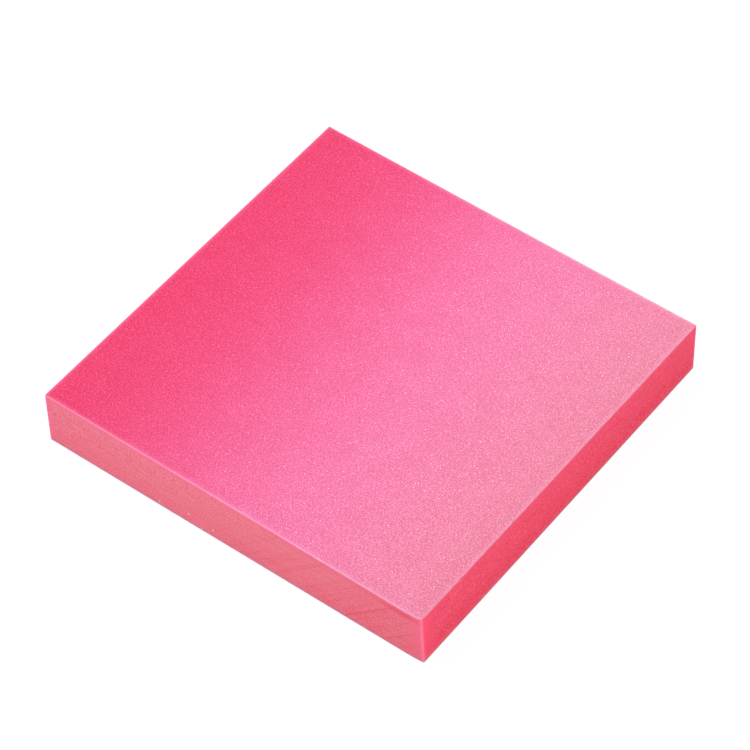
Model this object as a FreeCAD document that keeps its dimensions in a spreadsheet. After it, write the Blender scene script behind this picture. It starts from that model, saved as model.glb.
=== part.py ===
import FreeCAD, Part
import Sketcher
import os

# A square sticky note pad: a stack of equal notes on one backing sheet.
#
# Each note is held to the one under it by a strip of low-tack adhesive along its bound edge,
# at +Y. The other three edges are free, and -Y is the edge that is lifted to peel a note off.
# The whole stack is trimmed by one knife, so every sheet has the same outline and the sides
# are flush. The knife bruises the rim of each sheet a little, which leaves a fine line between
# neighbours all round the pad, and handling has knocked its four upright corners blunt.
#
# Frame: +Z up, the pad lies on Z = 0, and X = Y = 0 is the middle of its outline.

SIZES = [
    ("note_width", 76.0, "outline along X, a standard square note"),
    ("note_length", 76.0, "outline along Y, from the free edge to the bound edge"),
    ("note_count", 100, "notes in the pad"),
    ("note_thickness", 0.104, "one note with its share of the adhesive coat"),
    ("corner_blunting", 0.25, "bevel of the pad's upright corners"),
    ("rim_relief", 0.02, "bevel that the knife leaves on a sheet's rim"),
    ("backing_thickness", 0.12, "release-coated backing sheet under the last note"),
]

SHEET_NAME = "Sizes"
PARTS_FOLDER = "parts"

# Two points closer than this, in mm, are in the same place.
SAME_PLACE = 1e-6

# How a sketch constraint names a line's two ends and the sketch's own origin.
LINE_START = 1
LINE_END = 2
SKETCH_AXIS = -1
ORIGIN_POINT = 1


def make_sizes(doc):
    """Write the driving dimensions to a spreadsheet, one alias for each."""
    sheet = doc.addObject("Spreadsheet::Sheet", SHEET_NAME)
    for row, (alias, value, meaning) in enumerate(SIZES, start=1):
        sheet.set(f"A{row}", meaning)
        sheet.set(f"B{row}", str(value))
        sheet.setAlias(f"B{row}", alias)
    doc.recompute()


def size(alias):
    """Name a driving dimension in an expression."""
    return f"{SHEET_NAME}.{alias}"


def origin_feature(body, role):
    """Find one of the body's own origin planes or axes."""
    return next(item for item in body.Origin.OriginFeatures if item.Role == role)


def driving_distance(sketch, kind, line, alias):
    """Hold a line of the sketch to one of the driving dimensions."""
    value = getattr(sketch.Document.getObject(SHEET_NAME), alias)
    constraint = Sketcher.Constraint(kind, line, LINE_START, line, LINE_END, float(value))
    sketch.renameConstraint(sketch.addConstraint(constraint), alias)
    sketch.setExpression(f"Constraints.{alias}", size(alias))


def sheet_outline(body):
    """Sketch the trimmed outline of a sheet, centred on the body's origin."""
    sketch = body.newObject("Sketcher::SketchObject", "Outline")
    sketch.AttachmentSupport = [(origin_feature(body, "XY_Plane"), "")]
    sketch.MapMode = "FlatFace"

    corners = [FreeCAD.Vector(x, y, 0) for x, y in [(-1, -1), (1, -1), (1, 1), (-1, 1)]]
    front, right, back, left = lines = [
        sketch.addGeometry(Part.LineSegment(start, end))
        for start, end in zip(corners, corners[1:] + corners[:1])
    ]
    for line, following in zip(lines, lines[1:] + lines[:1]):
        joined = Sketcher.Constraint("Coincident", line, LINE_END, following, LINE_START)
        sketch.addConstraint(joined)
    for line, direction in zip(lines, ("Horizontal", "Vertical") * 2):
        sketch.addConstraint(Sketcher.Constraint(direction, line))
    centred = ("Symmetric", front, LINE_START, back, LINE_START, SKETCH_AXIS, ORIGIN_POINT)
    sketch.addConstraint(Sketcher.Constraint(*centred))
    driving_distance(sketch, "DistanceX", front, "note_width")
    driving_distance(sketch, "DistanceY", right, "note_length")
    return sketch


def bevel(body, base, name, alias, wanted):
    """Bevel each edge of the base feature whose bounding box passes a test."""
    edges = [
        f"Edge{number}"
        for number, edge in enumerate(base.Shape.Edges, start=1)
        if wanted(edge.BoundBox)
    ]
    feature = body.newObject("PartDesign::Chamfer", name)
    feature.Base = (base, edges)
    feature.setExpression("Size", size(alias))
    body.Document.recompute()
    return feature


def trimmed_sheet(body, thickness, underside_is_bruised):
    """Build one sheet: padded from its outline, blunt at the corners, bevelled along its rim."""
    pad = body.newObject("PartDesign::Pad", "Sheet")
    pad.Profile = sheet_outline(body)
    pad.setExpression("Length", size(thickness))
    body.Document.recompute()

    top, bottom = pad.Length.Value, 0.0
    rims = (top, bottom) if underside_is_bruised else (top,)

    def is_upright(box):
        return box.ZLength > SAME_PLACE

    def is_rim(box):
        return any(max(abs(box.ZMin - rim), abs(box.ZMax - rim)) < SAME_PLACE for rim in rims)

    corners = bevel(body, pad, "Corners", "corner_blunting", is_upright)
    return bevel(body, corners, "Rim", "rim_relief", is_rim)


def make_note_block(doc):
    """Build one note and repeat it upwards, each copy lying on the one before."""
    body = doc.addObject("PartDesign::Body", "NoteBlock")
    body.Label = "note_block"
    body.setExpression("Placement.Base.z", size("backing_thickness"))
    trimmed_sheet(body, "note_thickness", underside_is_bruised=True)

    stack = body.newObject("PartDesign::LinearPattern", "Stack")
    stack.TransformMode = "Whole shape"
    stack.Direction = (origin_feature(body, "Z_Axis"), [""])
    stack.Mode = "Spacing"
    stack.setExpression("Offset", size("note_thickness"))
    stack.setExpression("Occurrences", size("note_count"))
    body.Tip = stack
    return body


def make_backing_sheet(doc):
    """Build the sheet that covers the adhesive of the last note, flat where the pad lies on it."""
    body = doc.addObject("PartDesign::Body", "BackingSheet")
    body.Label = "backing_sheet"
    body.Tip = trimmed_sheet(body, "backing_thickness", underside_is_bruised=False)
    return body


def check(doc, bodies):
    """Stop if an object failed, or a sub-part isn't one valid solid."""
    for item in doc.Objects:
        if "Invalid" in item.State or "Error" in item.State:
            raise RuntimeError(f"{item.Label} failed: {item.State}")
    for body in bodies:
        if body.Shape.isNull() or not body.Shape.isValid():
            raise RuntimeError(f"{body.Label} has no valid shape")
        if len(body.Shape.Solids) != 1:
            raise RuntimeError(f"{body.Label} has {len(body.Shape.Solids)} solids, not one")


def export(bodies):
    """Write each sub-part to a file named after its label."""
    os.makedirs(PARTS_FOLDER, exist_ok=True)
    for body in bodies:
        body.Shape.exportStep(f"{PARTS_FOLDER}/{body.Label}.step")
        box = body.Shape.BoundBox
        print(
            f"{body.Label}: {box.XLength:.3f} x {box.YLength:.3f} x {box.ZLength:.3f} mm,"
            f" {len(body.Shape.Faces)} faces, {body.Shape.Volume:.1f} mm3"
        )


def main():
    doc = FreeCAD.newDocument("StickyNotePad")
    make_sizes(doc)
    bodies = [make_note_block(doc), make_backing_sheet(doc)]
    doc.recompute()
    check(doc, bodies)
    export(bodies)


main()
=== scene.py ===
"""A square pad of pink sticky notes, dressed for a studio picture.

The block of notes is one mesh in which every sheet has its own rim, because the trimmed stack
of rims is what the eye reads as paper. A thin release-coated sheet lies under it. The rest is
the studio: a pale floor, soft lamps and the camera. Lengths are in millimetres until a mesh,
a lamp or the camera is made, and Blender then gets metres.
"""

from __future__ import annotations

import logging
import math
from dataclasses import dataclass, field
from enum import Enum, IntEnum
from typing import Any

import bpy
import numpy as np
from mathutils import Matrix, Vector

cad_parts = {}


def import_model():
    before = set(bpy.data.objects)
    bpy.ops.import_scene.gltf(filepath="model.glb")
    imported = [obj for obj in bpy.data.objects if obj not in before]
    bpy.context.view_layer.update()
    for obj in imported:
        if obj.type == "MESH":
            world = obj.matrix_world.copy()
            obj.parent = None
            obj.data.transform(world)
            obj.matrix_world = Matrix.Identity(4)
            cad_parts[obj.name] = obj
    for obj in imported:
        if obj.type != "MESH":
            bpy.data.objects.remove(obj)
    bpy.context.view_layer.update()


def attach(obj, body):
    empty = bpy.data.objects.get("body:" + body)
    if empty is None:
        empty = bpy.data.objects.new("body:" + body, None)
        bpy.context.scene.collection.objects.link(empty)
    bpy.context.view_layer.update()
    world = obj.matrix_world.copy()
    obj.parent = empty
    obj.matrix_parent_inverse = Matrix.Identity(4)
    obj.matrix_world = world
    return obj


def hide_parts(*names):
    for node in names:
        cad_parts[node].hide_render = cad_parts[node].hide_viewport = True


LOG = logging.getLogger("note_pad")

MM = 0.001

# The pad's sizes in the CAD, in millimetres.
HALF_SIDE = 38.0
BACKING_THICKNESS = 0.12
PAD_HEIGHT = 10.52
SHEETS = 100

# Faces that meet at more than this angle, in degrees, keep a sharp edge.
SHARP_ANGLE = 35.0

# Where a colour Mix node keeps its sockets.
MIX_FACTOR = 0
MIX_A = 6
MIX_B = 7
MIX_RESULT = 2

# How strongly each finer octave of noise carries on from the coarser one.
OCTAVE_SHARE = 0.6
# A fleck fades out over this share of its own radius, inside its edge and again outside it.
FLECK_SOFTNESS = 0.3
# A nick's mark is at its strongest within this share of its half width.
NICK_CORE = 0.3

# How much each material bends light.
CELLULOSE_IOR = 1.5
SILICONE_IOR = 1.42


class Side(Enum):
    """The four sides of the pad, each with the way it faces."""

    FRONT = (0.0, -1.0)
    RIGHT = (1.0, 0.0)
    BACK = (0.0, 1.0)
    LEFT = (-1.0, 0.0)


class Surface(IntEnum):
    """The material slots of the note block."""

    FACE = 0
    # The front and back edges: the edge paper made paler by a painted sheen.
    ACROSS_GRAIN = 1
    ALONG_GRAIN = 2


def linear(colour: str) -> tuple[float, float, float, float]:
    """Turn an sRGB hex colour into linear light.

    Args:
        colour: Six hex digits after a hash.

    Returns:
        Linear red, green and blue, with an alpha of one.
    """
    channels = [int(colour[start : start + 2], 16) / 255 for start in (1, 3, 5)]
    red, green, blue = (
        channel / 12.92 if channel <= 0.04045 else ((channel + 0.055) / 1.055) ** 2.4
        for channel in channels
    )
    return red, green, blue, 1.0


def add_node(
    tree: bpy.types.NodeTree,
    kind: str,
    inputs: dict[int | str, Any] | None = None,
    **settings: Any,
) -> bpy.types.Node:
    """Add a node with its settings, values and links.

    Args:
        tree: The tree that the node joins.
        kind: Blender's name for the type of node.
        inputs: What goes into each socket: another node's output, which is linked, or a value.
        settings: Properties of the node itself.

    Returns:
        The new node.
    """
    node = tree.nodes.new(kind)
    for name, value in settings.items():
        setattr(node, name, value)
    for socket, value in (inputs or {}).items():
        if isinstance(value, bpy.types.NodeSocket):
            tree.links.new(value, node.inputs[socket])
        else:
            node.inputs[socket].default_value = value
    return node


def new_material(name: str) -> tuple[bpy.types.Material, bpy.types.NodeTree]:
    """Make an empty node material.

    Args:
        name: What the real material is called.

    Returns:
        The material and its node tree.
    """
    material = bpy.data.materials.new(name)
    material.use_nodes = True
    material.node_tree.nodes.clear()
    return material, material.node_tree


def finish_material(tree: bpy.types.NodeTree, shader: bpy.types.NodeSocket) -> None:
    """Send a shader to the material's output."""
    add_node(tree, "ShaderNodeOutputMaterial", {"Surface": shader})


def millimetre_space(tree: bpy.types.NodeTree) -> bpy.types.NodeSocket:
    """Give the point on the object in millimetres.

    Args:
        tree: The material's tree.

    Returns:
        A vector socket, so that a noise scale of 1/size draws that size.
    """
    place = add_node(tree, "ShaderNodeTexCoord").outputs["Object"]
    inputs = {0: place, "Scale": 1 / MM}
    return add_node(tree, "ShaderNodeVectorMath", inputs, operation="SCALE").outputs[0]


def centred_noise(
    tree: bpy.types.NodeTree,
    place: bpy.types.NodeSocket,
    size: float,
    strength: float,
    detail: float = 0.0,
) -> bpy.types.NodeSocket:
    """Draw noise that averages nought.

    Args:
        tree: The material's tree.
        place: Where on the object, in millimetres.
        size: Size of one blotch, in millimetres.
        strength: How far the noise swings over its whole range.
        detail: Octaves of finer noise on top.

    Returns:
        A number socket.
    """
    inputs = {"Vector": place, "Scale": 1 / size, "Detail": detail, "Roughness": OCTAVE_SHARE}
    noise = add_node(tree, "ShaderNodeTexNoise", inputs).outputs[0]
    inputs = {0: noise, 1: strength, 2: -strength / 2}
    return add_node(tree, "ShaderNodeMath", inputs, operation="MULTIPLY_ADD").outputs[0]


def flecks(
    tree: bpy.types.NodeTree,
    place: bpy.types.NodeSocket,
    spacing: float,
    size: float,
    strength: float,
) -> bpy.types.NodeSocket:
    """Scatter small round flecks.

    Args:
        tree: The material's tree.
        place: Where on the object, in millimetres.
        spacing: Distance between neighbours in space, in millimetres.
        size: Width of a fleck, in millimetres.
        strength: What the pattern comes to in a fleck.

    Returns:
        A number socket: nought between the flecks.
    """
    inputs = {"Vector": place, "Scale": 1 / spacing}
    away = add_node(tree, "ShaderNodeTexVoronoi", inputs).outputs["Distance"]
    edge = size / 2 / spacing
    return eased(tree, away, edge * (1 + FLECK_SOFTNESS), edge * (1 - FLECK_SOFTNESS), strength)


def stretched(
    tree: bpy.types.NodeTree,
    place: bpy.types.NodeSocket,
    scale: tuple[float, float, float],
    turn: tuple[float, float, float] = (0.0, 0.0, 0.0),
) -> bpy.types.NodeSocket:
    """Turn and then squeeze the space that a pattern is drawn in.

    Args:
        tree: The material's tree.
        place: Where on the object, in millimetres.
        scale: Factor along each axis after the turn.
        turn: Turn about each axis, in degrees.

    Returns:
        A vector socket.
    """
    inputs = {"Vector": place, "Rotation": tuple(math.radians(angle) for angle in turn)}
    turned = add_node(tree, "ShaderNodeMapping", inputs).outputs[0]
    inputs = {0: turned, 1: scale}
    return add_node(tree, "ShaderNodeVectorMath", inputs, operation="MULTIPLY").outputs[0]


def total(tree: bpy.types.NodeTree, *parts: bpy.types.NodeSocket | float) -> bpy.types.NodeSocket:
    """Add numbers up.

    Args:
        tree: The material's tree.
        parts: Number sockets and plain numbers.

    Returns:
        A number socket.
    """
    running = parts[0]
    for part in parts[1:]:
        running = add_node(tree, "ShaderNodeMath", {0: running, 1: part}).outputs[0]
    return running


def product(tree: bpy.types.NodeTree, *parts: bpy.types.NodeSocket | float) -> bpy.types.NodeSocket:
    """Multiply numbers.

    Args:
        tree: The material's tree.
        parts: Number sockets and plain numbers.

    Returns:
        A number socket.
    """
    running = parts[0]
    for part in parts[1:]:
        inputs = {0: running, 1: part}
        running = add_node(tree, "ShaderNodeMath", inputs, operation="MULTIPLY").outputs[0]
    return running


def eased(
    tree: bpy.types.NodeTree,
    value: bpy.types.NodeSocket,
    start: float,
    end: float,
    height: float = 1.0,
) -> bpy.types.NodeSocket:
    """Rise smoothly from nought to a height as a value goes from start to end.

    Args:
        tree: The material's tree.
        value: The number that drives the rise.
        start: Where it begins.
        end: Where it is complete.
        height: What it comes to.

    Returns:
        A number socket.
    """
    inputs = {0: value, 1: start, 2: end, 3: 0.0, 4: height}
    settings = {"interpolation_type": "SMOOTHSTEP", "clamp": True}
    return add_node(tree, "ShaderNodeMapRange", inputs, **settings).outputs[0]


def blended(
    tree: bpy.types.NodeTree,
    share: bpy.types.NodeSocket,
    first: Any,
    second: Any,
) -> bpy.types.NodeSocket:
    """Mix two colours.

    Args:
        tree: The material's tree.
        share: How much of the second colour there is.
        first: A colour or a colour socket.
        second: A colour or a colour socket.

    Returns:
        A colour socket.
    """
    inputs = {MIX_FACTOR: share, MIX_A: first, MIX_B: second}
    return add_node(tree, "ShaderNodeMix", inputs, data_type="RGBA").outputs[MIX_RESULT]


def shaded(
    tree: bpy.types.NodeTree, colour: Any, level: bpy.types.NodeSocket
) -> bpy.types.NodeSocket:
    """Make a colour lighter or darker.

    Args:
        tree: The material's tree.
        colour: A colour or a colour socket.
        level: What it is multiplied by.

    Returns:
        A colour socket.
    """
    value = colour if isinstance(colour, bpy.types.NodeSocket) else colour[:3]
    inputs = {0: value, "Scale": level}
    return add_node(tree, "ShaderNodeVectorMath", inputs, operation="SCALE").outputs[0]


def relief(
    tree: bpy.types.NodeTree, height: bpy.types.NodeSocket, depth: float
) -> bpy.types.NodeSocket:
    """Turn a height pattern into a bumpy normal.

    Args:
        tree: The material's tree.
        height: The pattern.
        depth: How deep a swing of one is, in millimetres.

    Returns:
        A normal socket.
    """
    inputs = {"Height": height, "Distance": depth * MM, "Strength": 1.0}
    return add_node(tree, "ShaderNodeBump", inputs).outputs[0]


@dataclass(frozen=True)
class NotePaper:
    """Uncoated note paper, dyed in the pulp and calendered smooth between steel rolls.

    The dye gives one deep pink all through. Tufts of fibre that took less of it give a fine
    pale grain, and the calendered surface has a broad soft sheen, which the pits between the
    tufts swallow.
    """

    deep_colour: str = "#D91741"
    pale_colour: str = "#E8355B"
    # Pale from wear and from a painted highlight on the upper rim.
    wear_highlight_colour: str = "#FF96A4"
    # What is left of the sheen in a pit between tufts.
    pit_tint: str = "#BABABA"
    # Real fibres are some 0.03 mm wide. Tufts of them show as grain of about this size.
    tuft: float = 0.24
    # Paper is denser in clouds a few millimetres across.
    cloud: float = 4.0
    # How far each pattern swings between the deep and the pale colour, and about what middle.
    tuft_contrast: float = 2.6
    cloud_contrast: float = 0.3
    middle: float = 0.6
    # Loose undyed fibre ends: how far apart they are, how wide, and how pale.
    fleck: tuple[float, float, float] = (0.75, 0.15, 0.35)
    relief: float = 0.003
    roughness: float = 0.22
    specular: float = 0.71

    def material(self) -> bpy.types.Material:
        """Build the face of a note.

        Returns:
            The material.
        """
        material, tree = new_material("dyed_note_paper")
        place = millimetre_space(tree)
        tufts = centred_noise(tree, place, self.tuft, self.tuft_contrast, detail=1.0)
        clouds = centred_noise(tree, place, self.cloud, self.cloud_contrast, detail=2.0)
        wear = add_node(tree, "ShaderNodeAttribute", attribute_name="wear").outputs["Fac"]
        share = total(tree, tufts, clouds, self.middle)
        # Its square has less pale than deep, with the pale in small tufts.
        share = product(tree, share, share)
        paper = blended(tree, share, linear(self.deep_colour), linear(self.pale_colour))
        # Paler at the upper rim, from wear and a painted highlight, and at the flecks.
        pale = total(tree, wear, flecks(tree, place, *self.fleck))
        inputs = {
            "Base Color": blended(tree, pale, paper, linear(self.wear_highlight_colour)),
            "Roughness": self.roughness,
            "IOR": CELLULOSE_IOR,
            "Specular IOR Level": self.specular,
            "Specular Tint": blended(tree, share, linear(self.pit_tint), linear("#FFFFFF")),
            "Normal": relief(tree, tufts, self.relief),
        }
        shader = add_node(tree, "ShaderNodeBsdfPrincipled", inputs).outputs[0]
        finish_material(tree, shader)
        return material


@dataclass(frozen=True)
class CutEdge:
    """The cut edge of a stack of dyed paper, trimmed in one stroke of a guillotine knife.

    The eye sees a hundred thin rims, each a little lighter or darker than the next, broken up
    by torn fibre ends and crossed by the slanting marks of nicks in the blade.
    """

    name: str
    deep_colour: str
    pale_colour: str
    # Painted shade of the gap under the upper sheets beside the near corner.
    gap_shade_colour: str
    # Light shines through the last few millimetres before an upright corner, and through the
    # uppermost sheets.
    lit_colour: str
    # Pale from wear and from a painted highlight at the corners and the upper rim.
    wear_highlight_colour: str = "#FF86A6"
    # Painted shade greying the foot, where it meets the floor.
    foot_shade_colour: str = "#CC8C9C"
    # The axis that the sheets run along on this side: 0 for X and 1 for Y.
    along: int = 0
    # Fibre ends are 0.03 mm. In clumps they show as grain of about this size.
    fibre: float = 0.22
    # A streak follows a few sheets for some millimetres.
    streak: tuple[float, float] = (5.0, 0.25)
    # The blade came down at this slant, in degrees. The marks of its small nicks are this far
    # apart and this long.
    mark_slant: float = 45.0
    mark: tuple[float, float] = (0.35, 30.0)
    # Where along the side they set in, and where they are at full strength.
    mark_span: tuple[float, float] = (-12.0, 6.0)
    # A mark is drawn where noise passes the first of these levels, and is full at the second.
    mark_level: tuple[float, float] = (0.5, 0.68)
    # The lines of its larger nicks: how far from the origin, half how wide, and how much
    # darker, or how much paler where the number is below nought.
    nicks: tuple[tuple[float, float, float], ...] = ()
    # How far each pattern swings between the deep and the pale colour, and about what middle.
    middle: float = 0.5
    sheet_contrast: float = 0.06
    fibre_contrast: float = 2.0
    streak_contrast: float = 0.7
    mark_contrast: float = 0.15
    # Specks of dyed paper dust: how far apart they are, how wide, and how pale.
    fleck: tuple[float, float, float] = (1.7, 0.3, 0.8)
    # White crumbs of adhesive coat that the knife left on the side: where each one sits, how
    # wide they all are, and their colour.
    crumbs: tuple[tuple[float, float, float], ...] = ()
    crumb_width: float = 0.44
    crumb_colour: str = "#FFF2F0"
    roughness: float = 0.8
    specular: float = 0.2
    relief: float = 0.004

    def marks(self, tree: bpy.types.NodeTree, place: bpy.types.NodeSocket) -> bpy.types.NodeSocket:
        """Draw the slanting marks of the blade.

        Args:
            tree: The material's tree.
            place: Where on the object, in millimetres.

        Returns:
            A number socket: nought on clean paper, and in a mark how much darker it is.
        """
        spacing, length = self.mark
        turn = (0.0, self.mark_slant, 0.0) if self.along == 0 else (-self.mark_slant, 0.0, 0.0)
        squeeze = (1 / length, 1 / length, 1 / spacing)
        lines = stretched(tree, place, squeeze, turn)
        noise = add_node(tree, "ShaderNodeTexNoise", {"Vector": lines, "Scale": 1.0, "Detail": 1.0})
        deep = eased(tree, noise.outputs[0], *self.mark_level)
        run = add_node(tree, "ShaderNodeSeparateXYZ", {0: place}).outputs[self.along]
        span = eased(tree, run, *self.mark_span, self.mark_contrast)
        marks = product(tree, deep, span)
        turned = stretched(tree, place, (1.0, 1.0, 1.0), turn)
        across = add_node(tree, "ShaderNodeSeparateXYZ", {0: turned}).outputs[2]
        for away, width, depth in self.nicks:
            inputs = {0: total(tree, across, away)}
            near = add_node(tree, "ShaderNodeMath", inputs, operation="ABSOLUTE").outputs[0]
            marks = total(tree, marks, eased(tree, near, width, width * NICK_CORE, depth))
        return marks

    def material(self) -> bpy.types.Material:
        """Build the edge.

        Returns:
            The material.
        """
        material, tree = new_material(self.name)
        place = millimetre_space(tree)
        run, rise = self.streak
        squeeze = (1 / run, 1.0, 1 / rise) if self.along == 0 else (1.0, 1 / run, 1 / rise)
        streak_space = stretched(tree, place, squeeze)
        streaks = centred_noise(tree, streak_space, 1.0, self.streak_contrast, detail=2.0)
        fibres = centred_noise(tree, place, self.fibre, self.fibre_contrast, detail=1.0)
        cuts = product(tree, self.marks(tree, place), -1.0)
        sheet_tone_and_light, wear, gap_shade, lit, foot_shade = (
            add_node(tree, "ShaderNodeAttribute", attribute_name=name).outputs["Fac"]
            for name in ("sheet_tone_and_light", "wear", "gap_shade", "lit", "foot_shade")
        )
        # Each sheet's own tone, with painted light that pales the sides upwards and the front
        # towards its middle.
        sheets = product(tree, sheet_tone_and_light, self.sheet_contrast)
        share = total(tree, streaks, fibres, sheets, cuts, self.middle)
        paper = blended(tree, share, linear(self.deep_colour), linear(self.pale_colour))
        # Painted shade of the gap under the upper sheets beside the near corner.
        paper = blended(tree, gap_shade, paper, linear(self.gap_shade_colour))
        paper = blended(tree, lit, paper, linear(self.lit_colour))
        # Painted shade at the foot.
        paper = blended(tree, foot_shade, paper, linear(self.foot_shade_colour))
        # Paler at the corners and the upper rim, from wear and a painted highlight, and at the
        # specks of dust.
        pale = total(tree, wear, flecks(tree, place, *self.fleck))
        paper = blended(tree, pale, paper, linear(self.wear_highlight_colour))
        for spot in self.crumbs:
            away = add_node(tree, "ShaderNodeVectorMath", {0: place, 1: spot}, operation="DISTANCE")
            edge = self.crumb_width / 2
            crumb = eased(tree, away.outputs["Value"], edge, edge / 2)
            paper = blended(tree, crumb, paper, linear(self.crumb_colour))
        inputs = {
            "Base Color": paper,
            "Roughness": self.roughness,
            "IOR": CELLULOSE_IOR,
            "Specular IOR Level": self.specular,
            "Normal": relief(tree, total(tree, fibres, cuts), self.relief),
        }
        shader = add_node(tree, "ShaderNodeBsdfPrincipled", inputs).outputs[0]
        finish_material(tree, shader)
        return material


@dataclass(frozen=True)
class ReleasePaper:
    """White kraft paper with a thin cured silicone coat, so that adhesive lets go of it.

    The coat closes the paper's pores, which leaves an off-white sheet with a low gloss.
    """

    colour: str = "#F0DCDA"
    # Kraft fibres are 0.04 mm wide. Under the coat, clumps of them show at about this size.
    fibre: float = 0.35
    contrast: float = 0.06
    roughness: float = 0.32
    relief: float = 0.004

    def material(self) -> bpy.types.Material:
        """Build the coated paper.

        Returns:
            The material.
        """
        material, tree = new_material("silicone_coated_kraft")
        place = millimetre_space(tree)
        fibres = centred_noise(tree, place, self.fibre, self.contrast, detail=2.0)
        inputs = {
            "Base Color": shaded(tree, linear(self.colour), total(tree, fibres, 1.0)),
            "Roughness": self.roughness,
            "IOR": SILICONE_IOR,
            "Normal": relief(tree, fibres, self.relief),
        }
        shader = add_node(tree, "ShaderNodeBsdfPrincipled", inputs).outputs[0]
        finish_material(tree, shader)
        return material


@dataclass(frozen=True)
class StudioFloor:
    """A sheet of matt white card, lit until it is as white as the picture's background."""

    # What it gives back to the pad.
    colour: str = "#E7E7E7"
    # What is seen of it: mostly a white of its own, and this share of the light that falls on
    # it, so that the pad keeps a faint shadow.
    glow: float = 0.96
    shadow_share: float = 0.07

    def material(self) -> bpy.types.Material:
        """Build the card.

        Returns:
            The material.
        """
        material, tree = new_material("matt_white_card")
        share = self.shadow_share
        card = add_node(tree, "ShaderNodeBsdfDiffuse", {"Color": linear(self.colour)}).outputs[0]
        faint = (share, share, share, 1.0)
        shadow = add_node(tree, "ShaderNodeBsdfDiffuse", {"Color": faint}).outputs[0]
        inputs = {"Color": linear("#FFFFFF"), "Strength": self.glow}
        glow = add_node(tree, "ShaderNodeEmission", inputs).outputs[0]
        white = add_node(tree, "ShaderNodeAddShader", {0: shadow, 1: glow}).outputs[0]
        inputs = {0: seen_directly(tree), 1: card, 2: white}
        finish_material(tree, add_node(tree, "ShaderNodeMixShader", inputs).outputs[0])
        return material


def seen_directly(tree: bpy.types.NodeTree) -> bpy.types.NodeSocket:
    """Tell the rays that show the background from those that carry its light.

    Args:
        tree: The tree of a material or of the world.

    Returns:
        A number socket: one for camera, glossy and transmission rays, and nought for others.
    """
    path = add_node(tree, "ShaderNodeLightPath").outputs
    shown = path["Is Camera Ray"]
    for kind in ("Is Glossy Ray", "Is Transmission Ray"):
        inputs = {0: shown, 1: path[kind]}
        shown = add_node(tree, "ShaderNodeMath", inputs, operation="MAXIMUM").outputs[0]
    return shown


@dataclass
class Trim:
    """The outline that the knife leaves: a square with blunt corners and a slack side."""

    half: float = HALF_SIDE
    corner_steps: int = 5
    side_steps: int = 40
    # How blunt the corner at the end of each side is, going round against the clock.
    blunting: dict[Side, float] = field(
        default_factory=lambda: {
            Side.FRONT: 0.16,
            Side.RIGHT: 0.14,
            Side.BACK: 0.25,
            Side.LEFT: 0.2,
        }
    )
    # How far the middle of a side lies in from the line between its corners, where it does.
    slack: dict[Side, float] = field(default_factory=lambda: {Side.BACK: 0.06})

    def __post_init__(self) -> None:
        """Walk once round the outline and keep each point, its way out and its side."""
        points: list[tuple[float, float]] = []
        ways: list[tuple[float, float]] = []
        sides: list[Side] = []
        order = tuple(Side)
        for number, side in enumerate(order):
            out_x, out_y = side.value
            run_x, run_y = -out_y, out_x
            radius = self.blunting[side]
            start = self.blunting[order[number - 1]] - self.half
            end = self.half - radius
            for step in range(self.side_steps):
                # The points lie closer together near the corners.
                share = (1 - math.cos(math.pi * step / self.side_steps)) / 2
                along = start + (end - start) * share
                out = self.half - self.slack.get(side, 0.0) * (1 - (along / self.half) ** 2)
                points.append((out * out_x + along * run_x, out * out_y + along * run_y))
                ways.append((out_x, out_y))
                sides.append(side)
            centre_x, centre_y = end * (out_x + run_x), end * (out_y + run_y)
            for step in range(self.corner_steps):
                angle = math.radians(90 * (step / self.corner_steps + number - 1))
                way_x, way_y = math.cos(angle), math.sin(angle)
                points.append((centre_x + radius * way_x, centre_y + radius * way_y))
                ways.append((way_x, way_y))
                sides.append(side)
        self.points = np.array(points)
        self.ways = np.array(ways)
        self.sides = sides

    @property
    def count(self) -> int:
        """Number of points round the outline."""
        return len(self.sides)

    @property
    def from_middle(self) -> np.ndarray:
        """How far along its side each point lies from the side's middle, in millimetres."""
        return np.minimum(np.abs(self.points[:, 0]), np.abs(self.points[:, 1]))

    def by_side(self, side: Side, there: float, elsewhere: float) -> np.ndarray:
        """Give each point one value on a side and another on the other three."""
        return np.array([there if item is side else elsewhere for item in self.sides])

    def ring(self, inset: np.ndarray | float) -> np.ndarray:
        """Give the outline moved inwards.

        Args:
            inset: How far, in millimetres, for all points or for each.

        Returns:
            Its X and Y, one row a point.
        """
        distance = np.broadcast_to(inset, self.count)[:, None]
        return self.points - self.ways * distance

    def corner_nearness(self, reach: float) -> np.ndarray:
        """Tell how near each point is to an upright corner.

        Args:
            reach: Distance at which it no longer counts, in millimetres.

        Returns:
            One at a corner and nought beyond the reach.
        """
        return np.clip(1 - (self.half - self.from_middle) / reach, 0, 1)

    def away_from(self, corner: tuple[int, int]) -> np.ndarray:
        """Give each point's distance from one corner, in millimetres."""
        return np.hypot(*(self.points - self.half * np.array(corner)).T)


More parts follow.
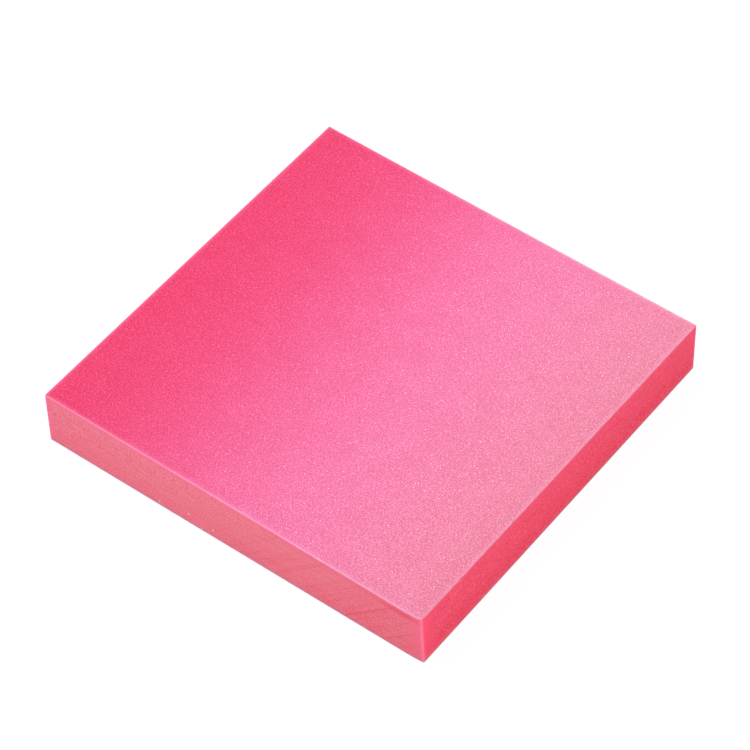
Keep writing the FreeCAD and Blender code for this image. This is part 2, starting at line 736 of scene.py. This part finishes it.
@dataclass
class Loft:
    """A closed skin over rings that lie one above the other."""

    rings: list[np.ndarray] = field(default_factory=list)
    surfaces: list[list[Surface]] = field(default_factory=list)
    marks: dict[str, list[np.ndarray]] = field(default_factory=dict)

    def add(self, ring: np.ndarray, surfaces: list[Surface], **marks: np.ndarray | float) -> None:
        """Lay one more ring on the others.

        Args:
            ring: Its points in millimetres, one row a point.
            surfaces: Material slot of each face between this ring and the one below.
            marks: Values to keep at its points, by name.
        """
        self.rings.append(ring)
        self.surfaces.append(surfaces)
        for name, value in marks.items():
            self.marks.setdefault(name, []).append(np.broadcast_to(value, len(ring)))

    def build(self, name: str) -> bpy.types.Object:
        """Make the mesh and link its object to the scene.

        Args:
            name: Name of the piece.

        Returns:
            The new object.
        """
        count = len(self.rings[0])
        faces = [tuple(reversed(range(count)))]
        slots = [self.surfaces[0][0]]
        for level in range(1, len(self.rings)):
            lower = (level - 1) * count
            upper = level * count
            for step in range(count):
                following = (step + 1) % count
                faces.append((lower + step, lower + following, upper + following, upper + step))
                slots.append(self.surfaces[level][step])
        top = (len(self.rings) - 1) * count
        faces.append(tuple(range(top, top + count)))
        slots.append(self.surfaces[-1][0])

        mesh = bpy.data.meshes.new(name)
        mesh.from_pydata((np.vstack(self.rings) * MM).tolist(), [], faces)
        mesh.polygons.foreach_set("material_index", [int(slot) for slot in slots])
        for mark, values in self.marks.items():
            layer = mesh.attributes.new(mark, "FLOAT", "POINT")
            layer.data.foreach_set("value", np.concatenate(values).astype(np.float32))
        mesh.shade_smooth()
        mesh.set_sharp_from_angle(angle=math.radians(SHARP_ANGLE))
        mesh.update()
        mesh.validate()
        piece = bpy.data.objects.new(name, mesh)
        bpy.context.scene.collection.objects.link(piece)
        return piece


@dataclass(frozen=True)
class CornerPush:
    """How far one corner of the stack is pushed along X and Y, in millimetres."""

    corner: tuple[int, int]
    foot: tuple[float, float]
    top: tuple[float, float]


@dataclass
class Skew:
    """How far being handled has pushed the stack out of shape, in millimetres."""

    half: float = HALF_SIDE
    height: float = PAD_HEIGHT
    corners: tuple[CornerPush, ...] = (
        CornerPush(corner=(1, -1), foot=(0.26, -0.11), top=(-0.38, -0.12)),
        CornerPush(corner=(1, 1), foot=(0.22, -0.03), top=(-0.03, 0.12)),
        CornerPush(corner=(-1, 1), foot=(0.10, 0.0), top=(-0.10, 0.09)),
        CornerPush(corner=(-1, -1), foot=(0.19, -0.13), top=(-0.46, 0.15)),
    )
    # The near corner is rubbed round, all but its foot: how deep, and how far along each side.
    rub: tuple[float, float] = (0.22, 1.0)
    # Which way it is rubbed in.
    rub_way: tuple[float, float] = (-0.707, 0.707)
    # The rub sets in over this height, and at the very top it deepens by this share, which
    # falls off below by this power.
    rub_rise: float = 1.6
    rub_top_share: float = 0.25
    rub_top_power: int = 6
    # The front falls back towards that corner, and towards the top: how deep, and over what
    # length of the side.
    corner_ease: tuple[float, float] = (0.17, 1.2)
    top_ease: tuple[float, float] = (0.04, 0.7)

    def rubbed(self, flat: np.ndarray, height: float) -> np.ndarray:
        """Rub the near corner of an outline round.

        Args:
            flat: Its X and Y on the square, one row a point.
            height: Its height in millimetres.

        Returns:
            The outline with that corner moved inwards.
        """
        depth, reach = self.rub
        away = np.hypot(flat[:, 0] - self.half, flat[:, 1] + self.half)
        nearness = np.clip(1 - away / reach, 0, 1)
        share = 1 - math.exp(-height / self.rub_rise)
        share += self.rub_top_share * (height / self.height) ** self.rub_top_power
        return flat + (depth * share * nearness**2)[:, None] * np.array(self.rub_way)

    def fallen_back(self, flat: np.ndarray, height: float) -> np.ndarray:
        """Let the front of an outline fall back towards the near corner and towards the top.

        Args:
            flat: Its X and Y on the square, one row a point.
            height: Its height in millimetres.

        Returns:
            The outline with its front moved. The sides beside it only slide along themselves.
        """
        depth, reach = self.corner_ease
        back = depth * np.exp((flat[:, 0] - self.half) / reach)
        depth, reach = self.top_ease
        back += depth * math.exp((height - self.height) / reach)
        share = np.clip(-flat[:, 1] / self.half, 0, 1)
        return flat + np.column_stack([np.zeros(len(flat)), back * share])

    def push(self, flat: np.ndarray, height: float) -> np.ndarray:
        """Push an outline out of shape.

        Args:
            flat: Its X and Y on the square, one row a point.
            height: Its height in millimetres.

        Returns:
            Its points in space, one row a point.
        """
        flat = self.fallen_back(self.rubbed(flat, height), height)
        share = height / self.height
        pushed = flat.copy()
        for push in self.corners:
            # One at this corner, nought at the other three, and even in between.
            weight = np.prod((1 + np.array(push.corner) * flat / self.half) / 2, axis=1)
            shift = np.array(push.foot) * (1 - share) + np.array(push.top) * share
            pushed += weight[:, None] * shift
        return np.column_stack([pushed, np.full(len(flat), height)])


@dataclass(frozen=True)
class Trace:
    """A trace of painted light, painted shade or wear: its strength at its strongest, and how far
    it reaches.
    """

    strength: float
    reach: float

    def at(self, distance: np.ndarray | float) -> np.ndarray | float:
        """Give its strength at a distance in millimetres, along a bell curve."""
        return self.strength * np.exp(-((distance / self.reach) ** 2))


@dataclass(frozen=True)
class WearAndLight:
    """The marks on the sides of the stack: wear from handling, and painted light and shade."""

    # The corner that the camera sees in the middle, which is the most handled one.
    near_corner: tuple[int, int] = (1, -1)
    # The rims are paler at the upright corners and under the upper rim, partly from wear and partly
    # from a painted highlight.
    corner_wear: Trace = Trace(0.7, 0.7)
    rim_wear: Trace = Trace(0.25, 0.3)
    # Beside the near corner a band of painted shade marks the gap under the upper sheets: how it
    # fades along the side, how it fades above and below its middle, and how deep that lies under
    # the top.
    gap_shade: Trace = Trace(0.9, 9.0)
    gap_shade_band: Trace = Trace(1.0, 0.45)
    gap_shade_depth: float = 0.95
    # Light shines through at the near corner, falling off by this power, less at the other
    # corners, and through the uppermost sheets.
    near_glow: Trace = Trace(0.95, 4.0)
    near_glow_power: float = 1.3
    corner_glow: Trace = Trace(0.25, 2.0)
    upper_glow: Trace = Trace(0.4, 1.2)
    # Painted shade greys the foot, where it meets the floor.
    foot_shade: Trace = Trace(0.8, 0.4)
    # Painted light: the sides are paler towards the top, and the front is paler towards its middle.
    rise_light: float = 2.2
    belly_light: float = 1.6

    def shades(self, trim: Trim, middle: float) -> dict[str, np.ndarray]:
        """Tell how the rims are marked at one height, by wear and by painted light and shade.

        Args:
            trim: The outline of the sheets.
            middle: Height of the sheet's middle in millimetres.

        Returns:
            Values for each point of the outline, by the name of the mark.
        """
        below_top = PAD_HEIGHT - middle
        above_foot = middle - BACKING_THICKNESS
        front = trim.by_side(Side.FRONT, 1.0, 0.0)
        belly = front * (1 - (trim.from_middle / trim.half) ** 2)
        near = trim.away_from(self.near_corner)
        band = self.gap_shade_band.at(below_top - self.gap_shade_depth)
        corner = trim.corner_nearness(self.corner_wear.reach) ** 2 * self.corner_wear.strength
        close = np.clip(1 - near / self.near_glow.reach, 0, 1)
        glow = close**self.near_glow_power * self.near_glow.strength
        edge = trim.corner_nearness(self.corner_glow.reach) * self.corner_glow.strength
        # Painted shade at the foot, strongest where it meets the floor.
        foot_shade_level = self.foot_shade.strength * math.exp(-above_foot / self.foot_shade.reach)
        return {
            # Painted light added to each sheet's own tone.
            "sheet_tone_and_light": self.rise_light * (middle / PAD_HEIGHT - 0.5) + self.belly_light * belly,
            "wear": np.maximum(corner, self.rim_wear.at(below_top)),
            "gap_shade": front * band * self.gap_shade.at(near),
            "lit": np.maximum(np.maximum(glow, edge), self.upper_glow.at(below_top)),
            "foot_shade": np.full(trim.count, foot_shade_level),
        }


@dataclass
class NoteBlock:
    """The stack of notes."""

    trim: Trim
    skew: Skew
    wear_and_light: WearAndLight = WearAndLight()
    sheets: int = SHEETS
    # A rim is bevelled over this height, and the groove that it leaves is this deep, from the
    # shallowest to the deepest.
    bevel: float = 0.016
    groove: tuple[float, float] = (0.014, 0.045)
    # The bound side is held tight by the adhesive, so its grooves are shallower.
    bound_groove: float = 0.45
    # How far the joints between sheets stray in height, and the sheets' rims sideways.
    height_scatter: float = 0.004
    trim_scatter: float = 0.007
    # A sheet keeps a share of its neighbour's drift and adds a step of its own. One share of
    # the drift moves its rim, and one lightens it.
    drift_kept: float = 0.85
    drift_step: float = 0.4
    drift_moves: float = 0.6
    drift_lightens: float = 0.5
    # How much single sheets differ in lightness.
    tone_scatter: float = 0.6
    # A rim wanders between this many points round the pad, and stands out this far at most.
    wander_knots: int = 24
    most_proud: float = 0.01
    # The upper rim, ring by ring: how far in, how far down, and how pale from wear and a painted
    # highlight.
    top_rim: tuple[tuple[float, float, float], ...] = (
        (0.0, 0.05, 0.85),
        (0.02, 0.018, 0.85),
        (0.06, 0.0, 0.7),
        (0.1, 0.0, 0.4),
    )
    # The face inside that, ring by ring: how far in, and how pale from wear and a painted
    # highlight.
    cap_rings: tuple[tuple[float, float], ...] = (
        (0.25, 0.16),
        (0.55, 0.04),
        (1.1, 0.0),
        (4.0, 0.0),
        (10.0, 0.0),
        (18.0, 0.0),
        (27.0, 0.0),
        (34.0, 0.0),
    )
    # The upper rim on the right gets less of the pale wear and painted highlight than the other
    # sides.
    right_rim_wear: float = 0.6
    seed: int = 76
    face: NotePaper = NotePaper()
    # The front and back edges: a paler copy of the edge paper, with a sheen of light painted into
    # its colour.
    across: CutEdge = CutEdge(
        name="edge_cut_with_painted_sheen",
        deep_colour="#F05968",
        pale_colour="#FD9299",
        gap_shade_colour="#F43D56",
        lit_colour="#FF7489",
        nicks=((15.9, 0.17, 0.55), (6.1, 0.13, 0.22), (18.9, 0.14, 0.14), (21.2, 0.14, 0.14)),
        along=0,
        crumbs=((-14.8, -38.0, 0.9), (-8.7, -38.0, 2.2), (-6.1, -38.0, 0.5), (-3.7, -38.0, 1.7)),
    )
    # The left and right edges: the same paper without the painted sheen.
    lengthwise: CutEdge = CutEdge(
        name="edge_cut_plain",
        deep_colour="#EC3348",
        pale_colour="#FF6A87",
        gap_shade_colour="#F25064",
        lit_colour="#FF5872",
        along=1,
        mark_contrast=0.06,
        mark_span=(-30.0, -38.0),
        nicks=((-26.4, 0.2, -0.22), (-27.5, 0.16, -0.16)),
        streak_contrast=0.4,
        fibre_contrast=2.1,
    )

    def side_surfaces(self) -> list[Surface]:
        """Give the material slot of each face in a band of the sides.

        Returns:
            One slot for each step round the outline.
        """
        # The front and back get the copy with the painted sheen.
        across = (Side.FRONT, Side.BACK)
        return [
            Surface.ACROSS_GRAIN if side in across else Surface.ALONG_GRAIN
            for side in self.trim.sides
        ]

    def wander(self, chance: np.random.Generator) -> np.ndarray:
        """Draw how one sheet's cut wanders round the pad.

        Args:
            chance: The source of chance, seeded.

        Returns:
            A value for each point of the outline, about nought and one wide.
        """
        knots = self.wander_knots
        steps = np.hypot(*np.diff(self.trim.points, axis=0, append=self.trim.points[:1]).T)
        places = knots * (np.cumsum(steps) - steps) / steps.sum()
        values = chance.normal(size=knots)
        values = np.append(values, values[0])
        return np.interp(places, np.arange(knots + 1), values)

    def ring(self, inset: np.ndarray | float, height: float) -> np.ndarray:
        """Lay the outline at a height, out of square as the stack is.

        Args:
            inset: How far it is moved inwards, in millimetres.
            height: Its height in millimetres.

        Returns:
            Its points, one row a point.
        """
        return self.skew.push(self.trim.ring(inset), height)

    def build(self) -> bpy.types.Object:
        """Build the stack, rim by rim.

        Returns:
            The note block.
        """
        chance = np.random.default_rng(self.seed)
        loft = Loft()
        sides = self.side_surfaces()
        thickness = (PAD_HEIGHT - BACKING_THICKNESS) / self.sheets
        scatter = chance.uniform(-1, 1, self.sheets + 1) * self.height_scatter
        scatter[[0, -1]] = 0
        joints = BACKING_THICKNESS + thickness * np.arange(self.sheets + 1) + scatter

        bound = self.trim.by_side(Side.BACK, self.bound_groove, 1.0)
        drift = 0.0
        for number in range(self.sheets):
            drift = self.drift_kept * drift + chance.normal() * self.drift_step
            offset = self.trim_scatter * (self.drift_moves * drift + self.wander(chance))
            offset = np.maximum(offset, -self.most_proud)
            depth = chance.uniform(*self.groove) * bound
            low = joints[number]
            high = joints[number + 1]
            marks = self.wear_and_light.shades(self.trim, (low + high) / 2)
            marks["sheet_tone_and_light"] += chance.normal() * self.tone_scatter + self.drift_lightens * drift
            loft.add(self.ring(offset + depth, low), sides, **marks)
            loft.add(self.ring(offset, low + self.bevel), sides, **marks)
            # The uppermost rim is a worn one, and is laid after the others.
            if number < self.sheets - 1:
                loft.add(self.ring(offset, high - self.bevel), sides, **marks)

        paper = [Surface.FACE] * self.trim.count
        clean = dict.fromkeys(("sheet_tone_and_light", "gap_shade", "lit", "foot_shade"), 0.0)
        rim_pale_share = self.trim.by_side(Side.RIGHT, self.right_rim_wear, 1.0)
        for step, (inset, drop, wear) in enumerate(self.top_rim):
            slots = sides if step == 0 else paper
            loft.add(self.ring(inset, PAD_HEIGHT - drop), slots, wear=wear * rim_pale_share, **clean)
        last = self.top_rim[-1][0]
        flat = self.ring(last, PAD_HEIGHT)[:, :2]
        level = np.full(self.trim.count, PAD_HEIGHT)
        for inset, wear in self.cap_rings:
            shrunk = flat * (self.trim.half - inset) / (self.trim.half - last)
            loft.add(np.column_stack([shrunk, level]), paper, wear=wear * rim_pale_share, **clean)
        return loft.build("note_stack")

    def dress(self, piece: bpy.types.Object) -> None:
        """Give the stack its three surfaces, in the order of their slots."""
        for finish in (self.face, self.across, self.lengthwise):
            piece.data.materials.append(finish.material())


@dataclass
class BackingSheet:
    """The release-coated sheet under the last note."""

    trim: Trim
    skew: Skew
    # The sheet's profile, ring by ring from below: how far in, and how high.
    profile: tuple[tuple[float, float], ...] = (
        (0.2, 0.0),
        (0.03, 0.0),
        (0.02, 0.01),
        (0.01, 0.05),
        (0.01, 0.09),
        (0.03, BACKING_THICKNESS),
    )
    finish: ReleasePaper = ReleasePaper()

    def build(self) -> bpy.types.Object:
        """Build the sheet.

        Returns:
            The backing sheet.
        """
        loft = Loft()
        slots = [Surface.FACE] * self.trim.count
        for inset, height in self.profile:
            loft.add(self.skew.push(self.trim.ring(inset), height), slots)
        return loft.build("release_sheet")

    def dress(self, piece: bpy.types.Object) -> None:
        """Give the sheet its coated paper."""
        piece.data.materials.append(self.finish.material())


@dataclass(frozen=True)
class SoftBox:
    """A flat lamp behind a sheet of diffusing cloth."""

    name: str
    place: tuple[float, float, float]
    size: tuple[float, float]
    radiance: float
    aim: tuple[float, float, float] = (0.0, 0.0, 8.0)
    colour: str = "#FFFFFF"
    # Whether the pad mirrors it. A low lamp would be a white glare for a low camera.
    mirrored: bool = True

    def build(self) -> bpy.types.Object:
        """Hang the lamp.

        Returns:
            The lamp's object.
        """
        width, height = (side * MM for side in self.size)
        lamp = bpy.data.lights.new(self.name, "AREA")
        lamp.shape = "RECTANGLE"
        lamp.size = width
        lamp.size_y = height
        lamp.energy = self.radiance * math.pi * width * height
        lamp.color = linear(self.colour)[:3]
        hung = bpy.data.objects.new(self.name, lamp)
        place = Vector(self.place) * MM
        towards = Vector(self.aim) * MM - place
        hung.matrix_world = Matrix.LocRotScale(place, towards.to_track_quat("-Z", "Y"), None)
        hung.visible_camera = False
        hung.visible_glossy = self.mirrored
        bpy.context.scene.collection.objects.link(hung)
        return hung


def window_strip(name: str, x: float, width: float, radiance: float, colour: str) -> SoftBox:
    """Describe one strip of the window that the top of the pad mirrors.

    Args:
        name: The lamp's name.
        x: How far it hangs to the right, in millimetres.
        width: Its width in millimetres.
        radiance: How bright it is.
        colour: Its colour.

    Returns:
        A lamp that hangs over the pad and shines straight down.
    """
    place, aim = (x, 45.0, 200.0), (x, 45.0, 0.0)
    return SoftBox(name, place, size=(width, 430.0), radiance=radiance, aim=aim, colour=colour)


@dataclass
class Studio:
    """The floor, the light and the camera."""

    floor_half: float = 1500.0
    # The floor lies this far under the pad, so that the two don't share a plane.
    floor_drop: float = 0.02
    floor: StudioFloor = StudioFloor()
    # How bright the light is that the white surroundings shed.
    world_level: float = 0.2
    # Width and height of the two low lamps.
    low_fill: tuple[float, float] = (320.0, 160.0)
    azimuth: float = 36.81
    elevation: float = 49.68
    distance: float = 641.0
    # How far the view's middle lies to the right of and above the origin, in millimetres.
    aim: tuple[float, float] = (0.05, 4.63)
    # And how far the camera is then shifted along X.
    sideways: float = 0.19
    lens: float = 185.76
    sensor_width: float = 36.0
    # Nothing nearer to the camera than this is drawn, in metres.
    nearest: float = 0.01

    def lamps(self) -> tuple[SoftBox, ...]:
        """List the lamps: a window in three strips over the pad, and three fills."""
        return (
            window_strip("window_pane", x=-41.0, width=36.0, radiance=7.5, colour="#D1F2FF"),
            window_strip("window_blind", x=-80.0, width=40.0, radiance=8.2, colour="#BEC6FF"),
            window_strip("window_sky", x=-110.0, width=20.0, radiance=4.1, colour="#C4A2FF"),
            SoftBox("left_fill", (-190.0, -20.0, 120.0), size=(140.0, 140.0), radiance=0.8),
            SoftBox("front_fill", (80.0, -411.0, 92.0), self.low_fill, 3.3, mirrored=False),
            SoftBox("right_fill", (411.0, 0.0, 92.0), self.low_fill, 5.25, mirrored=False),
        )

    def build_floor(self) -> bpy.types.Object:
        """Lay the floor just under the pad.

        Returns:
            The floor.
        """
        half = self.floor_half * MM
        height = -self.floor_drop * MM
        corners = [(x * half, y * half, height) for x, y in ((-1, -1), (1, -1), (1, 1), (-1, 1))]
        mesh = bpy.data.meshes.new("floor")
        mesh.from_pydata(corners, [], [(0, 1, 2, 3)])
        floor = bpy.data.objects.new("floor", mesh)
        bpy.context.scene.collection.objects.link(floor)
        mesh.materials.append(self.floor.material())
        return floor

    def build_light(self) -> None:
        """Set the world's even light and hang the lamps."""
        world = bpy.data.worlds.new("studio")
        bpy.context.scene.world = world
        world.use_nodes = True
        tree = world.node_tree
        tree.nodes.clear()
        # White where it is seen, and dimmer in the light that it sheds.
        inputs = {0: seen_directly(tree), 3: self.world_level, 4: 1.0}
        level = add_node(tree, "ShaderNodeMapRange", inputs).outputs[0]
        inputs = {"Color": linear("#FFFFFF"), "Strength": level}
        light = add_node(tree, "ShaderNodeBackground", inputs).outputs[0]
        add_node(tree, "ShaderNodeOutputWorld", {"Surface": light})
        for lamp in self.lamps():
            lamp.build()

    def build_camera(self) -> bpy.types.Object:
        """Set up the camera where the photograph was taken.

        Returns:
            The camera's object.
        """
        turn, lift = math.radians(self.azimuth), math.radians(self.elevation)
        back = Vector((math.sin(turn), -math.cos(turn), 0)) * math.cos(lift)
        back.z = math.sin(lift)
        right = Vector((math.cos(turn), math.sin(turn), 0))
        up = back.cross(right)
        across, upwards = self.aim
        place = back * self.distance + right * across + up * upwards
        place.x += self.sideways
        lens = bpy.data.cameras.new("camera")
        lens.lens = self.lens
        lens.sensor_width = self.sensor_width
        lens.clip_start = self.nearest
        camera = bpy.data.objects.new("camera", lens)
        turned = Matrix((right, up, back)).transposed().to_4x4()
        camera.matrix_world = Matrix.Translation(place * MM) @ turned
        bpy.context.scene.collection.objects.link(camera)
        bpy.context.scene.camera = camera
        return camera


def place_on_frame(piece: bpy.types.Object, node: str) -> None:
    """Let a piece stand for a node of the frame.

    Args:
        piece: The finished piece.
        node: The node that it replaces.
    """
    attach(piece, "root")
    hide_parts(node)
    LOG.info("%s: %d faces, stands for %s", piece.name, len(piece.data.polygons), node)


def main() -> None:
    """Build the pad and its studio."""
    logging.basicConfig(level=logging.INFO, format="%(name)s: %(message)s")
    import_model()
    bpy.context.scene.view_settings.view_transform = "Standard"

    studio = Studio()
    studio.build_camera()
    studio.build_floor()
    studio.build_light()

    trim = Trim()
    skew = Skew()
    notes = NoteBlock(trim, skew)
    stack = notes.build()
    notes.dress(stack)
    place_on_frame(stack, "note_block")

    backing = BackingSheet(trim, skew)
    sheet = backing.build()
    backing.dress(sheet)
    place_on_frame(sheet, "backing_sheet")


if __name__ == "__main__":
    main()
